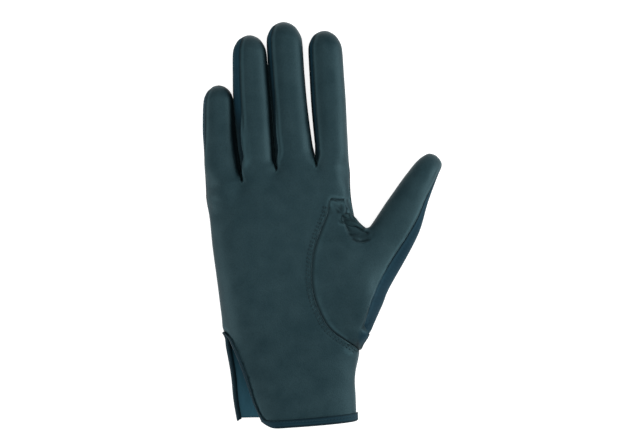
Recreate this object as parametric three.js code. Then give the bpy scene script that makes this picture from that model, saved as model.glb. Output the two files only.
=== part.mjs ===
// A right-hand riding glove lying on its back, palm up, fingers along +Y, thumb towards +X. Millimetres.
// The outer skin is one net of points. Each panel is a patch of that net, thickened inwards by its own wall.
import * as THREE from "three";

// Driving dimensions
const LENGTH = 242.4; // cuff hem to the middle fingertip
const PALM_WIDTH = 86.4; // across the knuckles
const PALM_DEPTH = 25; // back to palm at the ball of the thumb
const FINGER_DEPTH = 15.6;
const THUMB_DEPTH = 17;
const LEATHER_WALL = 1.2;
const STRETCH_WALL = 1;
const SEAM_GAP = 0.3; // between neighbouring panels
const FINGER_GAP = 0.6; // between neighbouring fingers
const BINDING_SHEET = 0.8;
const BINDING_CLEARANCE = 0.3;
const APEX_CLEARANCE = 0.6; // round the apex of the vent
const VENT_BINDING_LAP = 1.25; // how far the binding laps over the panel along the vent
const HEM_BINDING_LAP = 4;
const TAPE_END = 0.6; // how far the binding's end stands past the back's hem

// Shape of the sections, as shares
const SIDE_HEIGHT = 0.43; // height of the side seams, share of the local depth
const VENT_EDGE_HEIGHT = 0.24; // the back's free edge in the vent
const VENT_DROOP = 0.16; // the palm's free edge sags by this share of the local depth
const BACK_FLAT = 0.62; // share of the half width that lies flat
const CROTCH_TOP = 0.74; // height of the front end of a finger crotch
const CROTCH_BACK = 0.2;
const HEM_RISE = 0.07; // slope of the hem towards the thumb side
const BACK_SLOPE = 0.5; // the same slope of the back's hem, share of the palm's
const BACK_SEAM_BULGE = 0.19; // how far the thumb's seam runs into the back, share of the palm width
const PALM_ROUNDNESS = 2.3; // exponent of a hand section's upper side
const FINGER_ROUNDNESS = 0.9; // exponent of a finger's or thumb's upper side
const TIP_ROUNDNESS = 1.6; // exponent with which a fingertip loses its depth
const FINGER_TAPER = 0.1; // depth that a finger loses from base to tip
const DEPTH_SETTLE = 1.6; // how much sooner than the tip a finger has its own depth
const WIDTH_SETTLE = 1.2; // the same for its width from half way up
const KNUCKLE_ROUNDNESS = 2.5; // exponent with which the palm turns into round finger bases

// Net
const FINGER_COLUMNS = 5;
const STRIP_COLUMNS = 3;
const COLUMNS = 4 * FINGER_COLUMNS;
const WEB_LEFT = 16; // columns that end at the top of the thumb opening
const WEB_RIGHT = 18;

// Rows of the hand, from the hem to the finger crotches, shares of LENGTH
const SLOPE_END_AT = 0.152; // where the hem's slope has run out
const WRIST_AT = 0.187; // lower end of the thumb seam
const VENT_AT = 0.239; // apex of the vent
const WEB_AT = 0.499; // web between thumb and index finger
const WEB_TOP_AT = 0.551; // top of the thumb opening
const CROTCH_AT = 0.6175;
const ROWS = [
  0.0012, 0.024, 0.049, 0.078, 0.112, SLOPE_END_AT, WRIST_AT, 0.203, 0.218, 0.229, VENT_AT, 0.258,
  0.291, 0.33, 0.38, 0.429, 0.466, WEB_AT, 0.527, WEB_TOP_AT, 0.573, 0.595, CROTCH_AT,
];
const WRIST_ROW = ROWS.indexOf(WRIST_AT);
const VENT_ROW = ROWS.indexOf(VENT_AT);
const WEB_ROW = ROWS.indexOf(WEB_AT);
const WEB_TOP_ROW = ROWS.indexOf(WEB_TOP_AT);
const CROTCH_ROW = ROWS.indexOf(CROTCH_AT);
const BACK_HEM_AT = 0.0161;

// Outline: left and right from the middle line as shares of PALM_WIDTH, depth as a share of PALM_DEPTH
const SIDES = [
  { at: 0, left: -0.59, right: 0.24, depth: 0.84 },
  { at: 0.063, left: -0.62, right: 0.234, depth: 0.87 },
  { at: 0.127, left: -0.637, right: 0.23, depth: 0.9 },
  { at: 0.187, left: -0.667, right: 0.26, depth: 0.95 },
  { at: 0.249, left: -0.688, right: 0.257, depth: 1 },
  { at: 0.36, left: -0.727, right: 0.253, depth: 1 },
  { at: 0.434, left: -0.756, right: 0.243, depth: 0.95 },
  { at: 0.499, left: -0.775, right: 0.233, depth: 0.88 },
  { at: 0.558, left: -0.79, right: 0.21, depth: 0.8 },
  { at: 0.657, left: -0.822, right: 0.19, depth: 0.68 },
];

// Thumb seam on the palm
const THUMB_SEAM = [
  { at: WRIST_AT, across: 0.26 },
  { at: 0.203, across: 0.212 },
  { at: 0.229, across: 0.101 },
  { at: 0.258, across: 0.021 },
  { at: 0.33, across: -0.0625 },
  { at: 0.38, across: -0.073 },
  { at: 0.429, across: -0.06 },
  { at: WEB_AT, across: 0.0056 },
  { at: WEB_TOP_AT, across: 0.09 },
];

// Edge of the palm along the vent; corner is the share of LENGTH by which the row's end is rounded off
const VENT_EDGE = [
  { at: 0.021, across: -0.41 },
  { at: 0.0579, across: -0.46 },
  { at: 0.1149, across: -0.514 },
  { at: 0.1694, across: -0.569 },
  { at: 0.2028, across: -0.6125 },
  { at: 0.2288, across: -0.6486 },
  { at: VENT_AT, across: -0.68 },
];
const VENT_CORNER = [0.0165, 0.02, 0.017, 0.011, 0.005];
const VENT_CORNER_REACH = 0.1;
const VENT_DROOP_REACH = 0.16; // share of PALM_WIDTH over which the palm's free edge sags
const BINDING_INSET_REACH = 0.02; // share of LENGTH over which the back's edge makes room for the binding
const APEX_REACH = 0.05; // share of LENGTH over which the palm's edge rises from the apex
const APEX_SETTLE = 0.6; // how far it comes down to the side seam there

// Crease beside the web: place between thumb seam and side, then its distances from the side as shares
// of PALM_WIDTH at its lower end and further up, and the share of LENGTH over which it gets there
const CREASE_PLACE = 0.72;
const CREASE_START = 0.006;
const CREASE_INSET = 0.06;
const CREASE_REACH = 0.05;

// Finger crotches and the two outer ends of the finger bases
const BASES = [
  { across: -0.803, at: 0.583 },
  { across: -0.549, at: 0.603 },
  { across: -0.3125, at: 0.632 },
  { across: -0.038, at: 0.642 },
  { across: 0.193, at: 0.627 },
];

// Little, ring, middle and index finger: middle of the finger half way up and at the tip, widths there,
// depth as a share of FINGER_DEPTH, seam is the angle of the leather's edge on the side of the little finger
const FINGERS = [
  { mid: -0.715, tip: -0.719, reach: 0.843, wide: 0.236, tipWide: 0.216, depth: 0.9, seam: 142 },
  { mid: -0.485, tip: -0.505, reach: 0.967, wide: 0.266, tipWide: 0.244, depth: 1, seam: 123 },
  { mid: -0.234, tip: -0.268, reach: 1, wide: 0.258, tipWide: 0.257, depth: 1, seam: 136 },
  { mid: 0.045, tip: 0.016, reach: 0.978, wide: 0.252, tipWide: 0.246, depth: 1, seam: 139 },
];
const FINGER_ROWS = [0.05, 0.12, 0.22, 0.36, 0.52, 0.68, 0.84]; // shares of the straight stretch
const TIP_ROWS = [0, 22, 42, 54, 62]; // degrees round the fingertip
const TIP_LENGTH = 0.6; // share of the finger's width
const CROTCH_EASE = 0.12; // share of the palm width over which a crotch opens to a round finger

// Seams that all fingers share, degrees from the thumb side over the palm side. On the hand's two outer
// sides front and back meet in one seam, which rolls from the side to its own angle.
const SEAM_ANGLES = { right: 9, backRight: -38, backLeft: 218, indexSide: -20 };
const ROLL_START = 0.05; // share of the finger's length
const ROLL_LENGTH = 0.5;

// Thumb sections from the web (inner) to the outer side; pull draws a section towards the seam loop in the
// palm, seam is the angle of the leather edge, depth is a share of THUMB_DEPTH
const THUMB = [
  { inX: 0.243, inY: 0.494, outX: 0.288, outY: 0.196, depth: 1.42, pull: 0.72, seam: 160 },
  { inX: 0.278, inY: 0.488, outX: 0.328, outY: 0.22, depth: 1.44, pull: 0.5, seam: 130 },
  { inX: 0.316, inY: 0.481, outX: 0.366, outY: 0.246, depth: 1.4, pull: 0.32, seam: 114 },
  { inX: 0.333, inY: 0.49, outX: 0.405, outY: 0.284, depth: 1.3, pull: 0.17, seam: 113 },
  { inX: 0.356, inY: 0.504, outX: 0.466, outY: 0.337, depth: 1.2, pull: 0.06, seam: 115 },
  { inX: 0.384, inY: 0.519, outX: 0.543, outY: 0.388, depth: 1.1, pull: 0, seam: 118 },
  { inX: 0.417, inY: 0.537, outX: 0.618, outY: 0.436, depth: 1.03, pull: 0, seam: 122 },
  { inX: 0.457, inY: 0.558, outX: 0.677, outY: 0.479, depth: 0.98, pull: 0, seam: 126 },
  { inX: 0.503, inY: 0.581, outX: 0.708, outY: 0.515, depth: 0.94, pull: 0, seam: 133 },
  { inX: 0.556, inY: 0.608, outX: 0.738, outY: 0.553, depth: 0.89, pull: 0, seam: 138 },
  { inX: 0.604, inY: 0.63, outX: 0.773, outY: 0.587, depth: 0.82, pull: 0, seam: 150 },
  { inX: 0.651, inY: 0.651, outX: 0.806, outY: 0.618, depth: 0.74, pull: 0, seam: 158 },
  { inX: 0.703, inY: 0.667, outX: 0.829, outY: 0.636, depth: 0.6, pull: 0, seam: 162 },
  { inX: 0.743, inY: 0.674, outX: 0.836, outY: 0.65, depth: 0.42, pull: 0, seam: 165 },
];
const THUMB_BASE = { inX: 0.229, inY: 0.499, outX: 0.247, outY: 0.187, depth: 1.4, seam: 176 };
const THUMB_TIP = { across: 0.797, at: 0.669, height: 0.2 };
const THUMB_INNER_ANGLE = -25;
const THUMB_SPREAD = 0.93; // exponent that crowds the thumb's net towards its outer seam
const WEB_RELEASE = 1.2; // how much sooner the web side of a section lets go of the palm's seam
const GUSSET_COLUMNS = 7; // columns of the thumb net from its inner seam that the web gusset takes
const GUSSET_ROWS = 3;

// Dents and folds of the palm side: place, direction in degrees, length and width as shares of PALM_WIDTH,
// drop as a share of PALM_DEPTH (a negative drop is a rise). They fade out towards the side seams.
const FOLD_FADE = 0.12;
const FOLDS = [
  { across: -0.28, at: 0.4, turn: 80, long: 0.5, wide: 0.22, drop: 0.06 }, // hollow of the palm
  { across: -0.2, at: 0.14, turn: 5, long: 0.34, wide: 0.07, drop: 0.035 }, // slack above the cuff
  { across: -0.1, at: 0.52, turn: -28, long: 0.24, wide: 0.05, drop: 0.04 }, // crease from the web
  { across: 0.12, at: 0.36, turn: 75, long: 0.26, wide: 0.13, drop: -0.05 }, // ball of the thumb
  { across: -0.62, at: 0.36, turn: 86, long: 0.3, wide: 0.1, drop: -0.03 }, // heel of the little finger
];

const RADIANS = Math.PI / 180;

// Small helpers
function lerp(a, b, share) {
  return a + (b - a) * share;
}

function ease(share) {
  const s = Math.min(Math.max(share, 0), 1);
  return s * s * (3 - 2 * s);
}

// Smooth value of one column of a table at a station
function along(rows, at, key) {
  const last = rows.length - 1;
  if (at <= rows[0].at) return rows[0][key];
  if (at >= rows[last].at) return rows[last][key];
  let i = 0;
  while (rows[i + 1].at < at) i += 1;
  const [a, b] = [rows[i], rows[i + 1]];
  const before = rows[Math.max(i - 1, 0)];
  const after = rows[Math.min(i + 2, last)];
  const span = b.at - a.at;
  const s = (at - a.at) / span;
  const slopeA = ((b[key] - before[key]) / (b.at - before.at)) * span;
  const slopeB = ((after[key] - a[key]) / (after.at - a.at)) * span;
  const ends = (2 * s ** 3 - 3 * s ** 2 + 1) * a[key] + (3 * s ** 2 - 2 * s ** 3) * b[key];
  return ends + (s ** 3 - 2 * s ** 2 + s) * slopeA + (s ** 3 - s ** 2) * slopeB;
}

function placeX(across) {
  return across * PALM_WIDTH;
}

function placeY(at) {
  return (at - 0.5) * LENGTH;
}

function stationOf(y) {
  return y / LENGTH + 0.5;
}

// Height of a section's upper side, x from -1 to 1 across it
function upperHeight(x, side, depth) {
  return side + (depth - side) * Math.sqrt(Math.max(0, 1 - Math.abs(x) ** PALM_ROUNDNESS));
}

// Height of its lower side, which lies flat in the middle
function lowerHeight(x, side) {
  const rise = Math.max(0, (Math.abs(x) - BACK_FLAT) / (1 - BACK_FLAT));
  return side * (1 - Math.sqrt(Math.max(0, 1 - rise * rise)));
}

function foldDrop(x, y) {
  let drop = 0;
  for (const fold of FOLDS) {
    const dx = x - placeX(fold.across);
    const dy = y - placeY(fold.at);
    const c = Math.cos(fold.turn * RADIANS);
    const s = Math.sin(fold.turn * RADIANS);
    const u = (dx * c + dy * s) / (fold.long * PALM_WIDTH);
    const v = (dy * c - dx * s) / (fold.wide * PALM_WIDTH);
    drop += fold.drop * PALM_DEPTH * Math.exp(-u * u - v * v);
  }
  return drop;
}

// The net: points, and faces by panel, each face turned outwards
const points = [];
const panels = {};

function addPoint(x, y, z) {
  points.push(new THREE.Vector3(x, y, z));
  return points.length - 1;
}

function addFace(panel, corners) {
  const face = corners.filter((id, i) => id !== corners[(i + 1) % corners.length]);
  if (!panels[panel]) panels[panel] = [];
  if (face.length > 2) panels[panel].push(face);
}

// Two neighbouring lines of points make a row of faces; flip turns them over
function addRow(panel, lower, upper, flip) {
  for (let i = 0; i + 1 < lower.length; i += 1) {
    const corners = [lower[i], lower[i + 1], upper[i + 1], upper[i]];
    addFace(panel, flip ? corners.reverse() : corners);
  }
}

// Outline of the hand where the finger bases begin
function basePoint(column) {
  const finger = Math.min(Math.floor(column / FINGER_COLUMNS), 3);
  const share = column / FINGER_COLUMNS - finger;
  const across = lerp(BASES[finger].across, BASES[finger + 1].across, share);
  const at = lerp(BASES[finger].at, BASES[finger + 1].at, share);
  return { finger, share, x: placeX(across), y: placeY(at) };
}

// Seam heights at the two sides of a finger's base, front and back
function seamHeights(finger, depth) {
  const front = [depth * CROTCH_TOP, depth * CROTCH_TOP];
  const back = [depth * CROTCH_BACK, depth * CROTCH_BACK];
  if (finger === 0) front[0] = back[0] = depth * SIDE_HEIGHT;
  if (finger === 3) front[1] = back[1] = depth * SIDE_HEIGHT;
  return { front, back };
}

// Height over a finger's base, x from -1 to 1 across it
function fingerBaseHeight(finger, x, depth, isFront) {
  const heights = seamHeights(finger, depth);
  const share = (x + 1) / 2;
  if (isFront) {
    return upperHeight(x, lerp(heights.front[0], heights.front[1], share), depth);
  }
  return lowerHeight(x, lerp(heights.back[0], heights.back[1], share));
}

function ventOpening(at) {
  return ease((VENT_AT - at) / VENT_AT);
}

// A point of the hand between hem and crotches
function handPoint(row, column, isFront) {
  const at = !isFront && row === 0 ? BACK_HEM_AT : ROWS[row];
  const gather = ease((at - WEB_AT) / (CROTCH_AT - WEB_AT));
  const base = basePoint(column);
  let y = placeY(at) + gather * (base.y - placeY(CROTCH_AT));
  const left = placeX(along(SIDES, stationOf(y), "left"));
  const right = placeX(along(SIDES, stationOf(y), "right"));
  const isCut = isFront ? row < WEB_TOP_ROW : row < WEB_ROW && row > WRIST_ROW;
  const lastColumn = isFront && (isCut || row === WEB_TOP_ROW) ? WEB_LEFT : COLUMNS;
  let end = right;
  if (isFront && row > WRIST_ROW && row <= WEB_TOP_ROW) end = placeX(along(THUMB_SEAM, at, "across"));
  if (!isFront && isCut) {
    const share = (at - WRIST_AT) / (WEB_AT - WRIST_AT);
    end = right - placeX(BACK_SEAM_BULGE) * Math.sin(Math.PI * share);
  }
  const inVent = row < VENT_ROW;
  const opening = inVent ? ventOpening(at) : 0;
  const inset = inVent ? ease((VENT_AT - at) / BINDING_INSET_REACH) : 0;
  let start = left + inset * (BINDING_CLEARANCE + BINDING_SHEET);
  if (isFront && inVent) start = placeX(along(VENT_EDGE, at + (VENT_CORNER[row] ?? 0), "across"));
  const turnOf = (x) => Math.acos(Math.min(Math.max(1 - (2 * (x - left)) / (right - left), -1), 1));
  const turnStart = turnOf(start);
  const turnEnd = turnOf(end);
  let x;
  if (isFront && row <= WEB_TOP_ROW && row >= WEB_ROW && column > WEB_LEFT) {
    const crease = lerp(placeX(along(THUMB_SEAM, at, "across")), right, CREASE_PLACE);
    const edge = Math.max(crease, right - placeX(CREASE_INSET) * ease((at - WEB_AT) / CREASE_REACH));
    const creaseX = row === WEB_ROW ? right - placeX(CREASE_START) : edge;
    x = column <= WEB_RIGHT
      ? lerp(end, creaseX, (column - WEB_LEFT) / (WEB_RIGHT - WEB_LEFT))
      : lerp(creaseX, right, (column - WEB_RIGHT) / (COLUMNS - WEB_RIGHT));
  } else {
    const turn = lerp(turnStart, turnEnd, column / lastColumn);
    x = left + ((right - left) * (1 - Math.cos(turn))) / 2;
  }
  x = lerp(x, base.x, gather);
  // rounded corner between vent and hem, and the hem's slope
  if (isFront && inVent) {
    const reach = Math.max(0, 1 - (x - start) / placeX(VENT_CORNER_REACH));
    y += (VENT_CORNER[row] ?? 0) * LENGTH * reach ** 2;
  }
  const slope = (isFront ? 1 : BACK_SLOPE) * Math.max(0, 1 - at / SLOPE_END_AT);
  y += HEM_RISE * slope * Math.max(0, x - placeX(VENT_EDGE[0].across));
  // height
  const depth = along(SIDES, at, "depth") * PALM_DEPTH;
  const across = (2 * (x - left)) / (right - left) - 1;
  let z;
  if (isFront) {
    z = upperHeight(across, depth * SIDE_HEIGHT, depth);
    const edge = Math.max(0, 1 - (x - start) / placeX(VENT_DROOP_REACH));
    z -= opening * edge ** 2 * VENT_DROOP * depth;
    const nearApex = inVent ? Math.max(0, 1 - (VENT_AT - at) / APEX_REACH) : 0;
    z = lerp(z, depth * SIDE_HEIGHT, APEX_SETTLE * (nearApex * edge) ** 2);
    const inner = Math.min(x - left, right - x) / placeX(FOLD_FADE);
    z -= foldDrop(x, y) * ease(inner) * (1 - gather);
  } else {
    const side = across < 0 ? lerp(SIDE_HEIGHT, VENT_EDGE_HEIGHT, opening) : SIDE_HEIGHT;
    z = lowerHeight(across, depth * side);
  }
  const fingerX = base.share * 2 - 1;
  const baseDepth = along(SIDES, stationOf(base.y), "depth") * PALM_DEPTH;
  z = lerp(z, fingerBaseHeight(base.finger, fingerX, baseDepth, isFront), gather ** KNUCKLE_ROUNDNESS);
  return [x, y, z];
}

// Hand net. Front and back share their points along the side seams.
const front = [];
const back = [];
for (let row = 0; row <= CROTCH_ROW; row += 1) {
  front.push([]);
  back.push([]);
  for (let column = 0; column <= COLUMNS; column += 1) {
    const isStrip = column >= WEB_RIGHT && row >= WEB_ROW;
    const isHand = column <= WEB_LEFT || row >= WEB_TOP_ROW || isStrip;
    front[row].push(isHand ? addPoint(...handPoint(row, column, true)) : -1);
  }
  for (let column = 0; column <= COLUMNS; column += 1) {
    const sharesLeft = column === 0 && row >= VENT_ROW;
    const sharesRight = column === COLUMNS && row >= WEB_ROW;
    const sharesWrist = column === COLUMNS && row <= WRIST_ROW;
    let id;
    if (sharesLeft || sharesRight) id = front[row][column];
    else if (sharesWrist) id = front[row][WEB_LEFT];
    else id = addPoint(...handPoint(row, column, false));
    back[row].push(id);
  }
}

for (let row = 0; row < CROTCH_ROW; row += 1) {
  const [lower, upper] = [front[row], front[row + 1]];
  if (row < WEB_TOP_ROW) addRow("palm_panel", lower.slice(0, WEB_LEFT + 1), upper.slice(0, WEB_LEFT + 1));
  else addRow("palm_panel", lower, upper);
  if (row >= WEB_ROW && row < WEB_TOP_ROW) {
    addRow("palm_panel", lower.slice(WEB_RIGHT), upper.slice(WEB_RIGHT));
  }
  addRow("back_panel", back[row], back[row + 1], true);
}

// Side strip of a crotch, from its front end to its back end
function crotchStrip(finger) {
  const column = finger * FINGER_COLUMNS;
  const [a, b] = [front[CROTCH_ROW][column], back[CROTCH_ROW][column]];
  const strip = [a];
  for (let i = 1; i < STRIP_COLUMNS; i += 1) {
    const p = points[a].clone().lerp(points[b], i / STRIP_COLUMNS);
    strip.push(addPoint(p.x, p.y, p.z));
  }
  return [...strip, b];
}

const crotches = [null, crotchStrip(1), crotchStrip(2), crotchStrip(3), null];
const stripNames = [
  null, "fourchette_little_ring", "fourchette_ring_middle", "fourchette_middle_index", null,
];

// One section of a finger: front, right strip, back and left strip
function fingerSection(index, share, tipTurn) {
  const finger = FINGERS[index];
  const [a, b] = [BASES[index], BASES[index + 1]];
  const baseAt = (a.at + b.at) / 2;
  const baseMiddle = (a.across + b.across) / 2;
  const baseWide = b.across - a.across;
  const reach = (finger.reach - baseAt) * LENGTH;
  const tipLength = TIP_LENGTH * placeX(finger.tipWide);
  const way = share * (reach - tipLength) + tipLength * Math.sin(tipTurn * RADIANS);
  const v = way / reach;
  // middle line through base, half way and tip
  const middle = lerp(lerp(baseMiddle, finger.mid, 2 * v), lerp(finger.mid, finger.tip, 2 * v - 1), v);
  const wide = v < 0.5
    ? lerp(baseWide, finger.wide, ease(2 * v))
    : lerp(finger.wide, finger.tipWide, ease((2 * v - 1) * WIDTH_SETTLE));
  const opening = ease(way / placeX(CROTCH_EASE / 2));
  const lastTurn = TIP_ROWS[TIP_ROWS.length - 1];
  const half = (placeX(wide) / 2 - (opening * FINGER_GAP) / 2) * Math.cos(tipTurn * RADIANS);
  const round = Math.cos((Math.PI / 2) * (tipTurn / lastTurn) ** TIP_ROUNDNESS);
  const baseDepth = along(SIDES, baseAt, "depth") * PALM_DEPTH;
  const ownDepth = lerp(baseDepth, finger.depth * FINGER_DEPTH, ease(v * DEPTH_SETTLE));
  const depth = ownDepth * (1 - FINGER_TAPER * v * v);
  const side = depth * SIDE_HEIGHT;
  const grown = ease(way / placeX(CROTCH_EASE));
  const bow = (tipLength * (1 - Math.sin(lastTurn * RADIANS)) * tipTurn) / lastTurn;
  const slope = (1 - grown) * (b.at - a.at) * LENGTH;
  const place = (x, z) => {
    const y = placeY(baseAt) + way + bow * (1 - x * x) + (slope * x) / 2;
    return [placeX(middle) + half * x, y, side + (z - side) * round];
  };
  const roundPoint = (angle) => {
    const x = Math.cos(angle * RADIANS);
    const up = Math.sin(angle * RADIANS);
    return [x, up >= 0 ? side + (depth - side) * up ** FINGER_ROUNDNESS : lowerHeight(x, side)];
  };
  const blend = (flat, angle) => {
    const [x, z] = roundPoint(angle);
    return place(lerp(flat[0], x, grown), lerp(flat[1], z, grown));
  };
  const heights = seamHeights(index, depth);
  const roll = ease((v - ROLL_START) / ROLL_LENGTH);
  const left = index === 0 ? lerp(180, finger.seam, roll) : finger.seam;
  const right = index === 3 ? lerp(0, SEAM_ANGLES.indexSide, roll) : SEAM_ANGLES.right;
  const backLeft = index === 0 ? left : SEAM_ANGLES.backLeft;
  const backRight = index === 3 ? right : SEAM_ANGLES.backRight;
  const line = (count, makeFlat, from, to) =>
    Array.from({ length: count + 1 }, (_, i) => blend(makeFlat(i / count), lerp(from, to, i / count)));
  return {
    front: line(
      FINGER_COLUMNS, (s) => [2 * s - 1, fingerBaseHeight(index, 2 * s - 1, depth, true)], left, right,
    ),
    back: line(
      FINGER_COLUMNS, (s) => [2 * s - 1, fingerBaseHeight(index, 2 * s - 1, depth, false)],
      backLeft, backRight + 360,
    ),
    leftStrip: line(
      STRIP_COLUMNS, (s) => [-1, lerp(heights.front[0], heights.back[0], s)], left, backLeft,
    ),
    rightStrip: line(
      STRIP_COLUMNS, (s) => [1, lerp(heights.front[1], heights.back[1], s)], right, backRight,
    ),
  };
}

// Finger nets grow from the crotch row; at the tip front and back meet in one seam
function addFinger(index) {
  const from = index * FINGER_COLUMNS;
  const slice = (line) => line.slice(from, from + FINGER_COLUMNS + 1);
  let lower = {
    front: slice(front[CROTCH_ROW]),
    back: slice(back[CROTCH_ROW]),
    leftStrip: crotches[index],
    rightStrip: crotches[index + 1],
  };
  const sections = [
    ...FINGER_ROWS.map((share) => [share, 0]),
    ...TIP_ROWS.map((turn) => [1, turn]),
  ];
  sections.forEach(([share, turn], step) => {
    const shape = fingerSection(index, share, turn);
    const isLast = step === sections.length - 1;
    const add = (line) => line.map((p) => addPoint(...p));
    const upper = { front: add(shape.front) };
    if (isLast) {
      upper.back = upper.front;
      upper.leftStrip = shape.leftStrip.map(() => upper.front[0]);
      upper.rightStrip = shape.rightStrip.map(() => upper.front[FINGER_COLUMNS]);
    } else {
      const inner = add(shape.back.slice(1, -1));
      const backLeft = index === 0 ? upper.front[0] : addPoint(...shape.back[0]);
      const backRight = index === 3 ? upper.front[FINGER_COLUMNS] : addPoint(...shape.back[FINGER_COLUMNS]);
      upper.back = [backLeft, ...inner, backRight];
      upper.leftStrip = [upper.front[0], ...add(shape.leftStrip.slice(1, -1)), backLeft];
      upper.rightStrip = [upper.front[FINGER_COLUMNS], ...add(shape.rightStrip.slice(1, -1)), backRight];
    }
    addRow("palm_panel", lower.front, upper.front);
    addRow("back_panel", lower.back, upper.back, true);
    if (index > 0) addRow(stripNames[index], lower.leftStrip, upper.leftStrip, true);
    if (index < 3) addRow(stripNames[index + 1], lower.rightStrip, upper.rightStrip);
    lower = upper;
  });
}

for (let index = 0; index < FINGERS.length; index += 1) addFinger(index);

// Loop of the thumb opening: web strip, crease, top, seam down the palm, then up the back
const palmLoop = [];
for (let column = COLUMNS; column >= WEB_RIGHT; column -= 1) palmLoop.push(front[WEB_ROW][column]);
for (let row = WEB_ROW + 1; row <= WEB_TOP_ROW; row += 1) palmLoop.push(front[row][WEB_RIGHT]);
for (let column = WEB_RIGHT - 1; column >= WEB_LEFT; column -= 1) palmLoop.push(front[WEB_TOP_ROW][column]);
for (let row = WEB_TOP_ROW - 1; row >= WRIST_ROW; row -= 1) palmLoop.push(front[row][WEB_LEFT]);
const backLoop = [];
for (let row = WRIST_ROW + 1; row < WEB_ROW; row += 1) backLoop.push(back[row][COLUMNS]);
const loop = [...palmLoop, ...backLoop];
const leatherCells = palmLoop.length - 1;
const backCells = loop.length - leatherCells;

// Place of a loop point on a thumb section
function thumbSectionPoint(section, cell) {
  const inner = new THREE.Vector2(placeX(section.inX), placeY(section.inY));
  const outer = new THREE.Vector2(placeX(section.outX), placeY(section.outY));
  const angle = cell <= leatherCells
    ? lerp(THUMB_INNER_ANGLE, section.seam, (cell / leatherCells) ** THUMB_SPREAD)
    : lerp(section.seam, 360 + THUMB_INNER_ANGLE, (cell - leatherCells) / backCells);
  const depth = section.depth * THUMB_DEPTH;
  const side = depth * SIDE_HEIGHT;
  const x = -Math.cos(angle * RADIANS);
  const up = Math.sin(angle * RADIANS);
  const place = inner.clone().lerp(outer, (x + 1) / 2);
  const z = up >= 0 ? side + (depth - side) * up ** FINGER_ROUNDNESS : lowerHeight(x, side);
  return new THREE.Vector3(place.x, place.y, z);
}

const drawIn = loop.map((id, cell) => points[id].clone().sub(thumbSectionPoint(THUMB_BASE, cell)));
let lowerRing = loop;
THUMB.forEach((section, step) => {
  const ring = loop.map((_, cell) => {
    const webSide = Math.max(0, 1 - cell / leatherCells);
    const pull = section.pull ** (1 + WEB_RELEASE * webSide ** 2);
    const p = thumbSectionPoint(section, cell).addScaledVector(drawIn[cell], pull);
    return addPoint(p.x, p.y, Math.max(p.z, 0));
  });
  addThumbRow(lowerRing, ring, step);
  lowerRing = ring;
});
const tip = addPoint(placeX(THUMB_TIP.across), placeY(THUMB_TIP.at), THUMB_TIP.height * THUMB_DEPTH);
addThumbRow(lowerRing, loop.map(() => tip), THUMB.length);

function addThumbRow(lower, upper, step) {
  for (let cell = 0; cell < loop.length; cell += 1) {
    const next = (cell + 1) % loop.length;
    const isGusset = cell < GUSSET_COLUMNS && step >= 1 && step < GUSSET_ROWS;
    let panel = "thumb_back";
    if (cell < leatherCells) panel = "thumb_palm";
    if (isGusset) panel = "thumb_gusset";
    addFace(panel, [lower[cell], lower[next], upper[next], upper[cell]]);
  }
}

// The direction that lies as near as it can to one unit along every one of the normals, and its greatest
// length. The softening keeps it steady where they are nearly parallel.
const SOFTENING = 0.04;
const MOST_OUTWARD = 1.7;
const MOST_PULL = 2;
const MOST_FOLD = 1.3;

function meetAll(normals, most) {
  const m = new THREE.Matrix3();
  const sum = new THREE.Vector3();
  const e = [0, 0, 0, 0, 0, 0, 0, 0, 0];
  for (const n of normals) {
    const c = [n.x, n.y, n.z];
    c.forEach((p, i) => c.forEach((q, j) => (e[i * 3 + j] += p * q)));
    sum.add(n);
  }
  const soft = SOFTENING * normals.length;
  e[0] += soft;
  e[4] += soft;
  e[8] += soft;
  m.set(...e).invert();
  return sum.applyMatrix3(m).multiplyScalar(1 + SOFTENING).clampLength(0, most);
}

// Faces as triangles, split along the shorter diagonal
function trianglesOf(faces) {
  return faces.flatMap((face) => {
    if (face.length === 3) return [face];
    const [a, b, c, d] = face;
    const short = points[a].distanceTo(points[c]) <= points[b].distanceTo(points[d]);
    return short ? [[a, b, c], [a, c, d]] : [[a, b, d], [b, c, d]];
  });
}

function normalOf([a, b, c]) {
  const ab = points[b].clone().sub(points[a]);
  const ac = points[c].clone().sub(points[a]);
  return ab.cross(ac).normalize();
}

const skin = Object.entries(panels).map(([name, faces]) => ({ name, triangles: trianglesOf(faces) }));
const pointNormals = points.map(() => []);
const edgeOwners = new Map();
for (const { name, triangles } of skin) {
  for (const triangle of triangles) {
    const normal = normalOf(triangle);
    triangle.forEach((id, i) => {
      pointNormals[id].push(normal);
      edgeOwners.set(id + "_" + triangle[(i + 1) % 3], name);
    });
  }
}
const outward = pointNormals.map((normals) => meetAll(normals, MOST_OUTWARD));

// Border edges of a panel, each with the direction into the panel and whether it is a seam
function bordersOf(name, triangles) {
  const own = new Set(triangles.flatMap((t) => t.map((id, i) => id + "_" + t[(i + 1) % 3])));
  const borders = [];
  for (const triangle of triangles) {
    triangle.forEach((a, i) => {
      const b = triangle[(i + 1) % 3];
      if (own.has(b + "_" + a)) return;
      const edge = points[b].clone().sub(points[a]);
      const inward = normalOf(triangle).cross(edge).normalize();
      borders.push({ a, b, inward, isSeam: edgeOwners.has(b + "_" + a) });
    });
  }
  return borders;
}

function meshOf(name, positions, triangles, material) {
  const geometry = new THREE.BufferGeometry();
  const numbers = positions.flatMap((p) => p.toArray());
  geometry.setAttribute("position", new THREE.Float32BufferAttribute(numbers, 3));
  geometry.setIndex(triangles.flat());
  geometry.computeVertexNormals();
  const mesh = new THREE.Mesh(geometry, material);
  mesh.name = name;
  return mesh;
}

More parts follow.
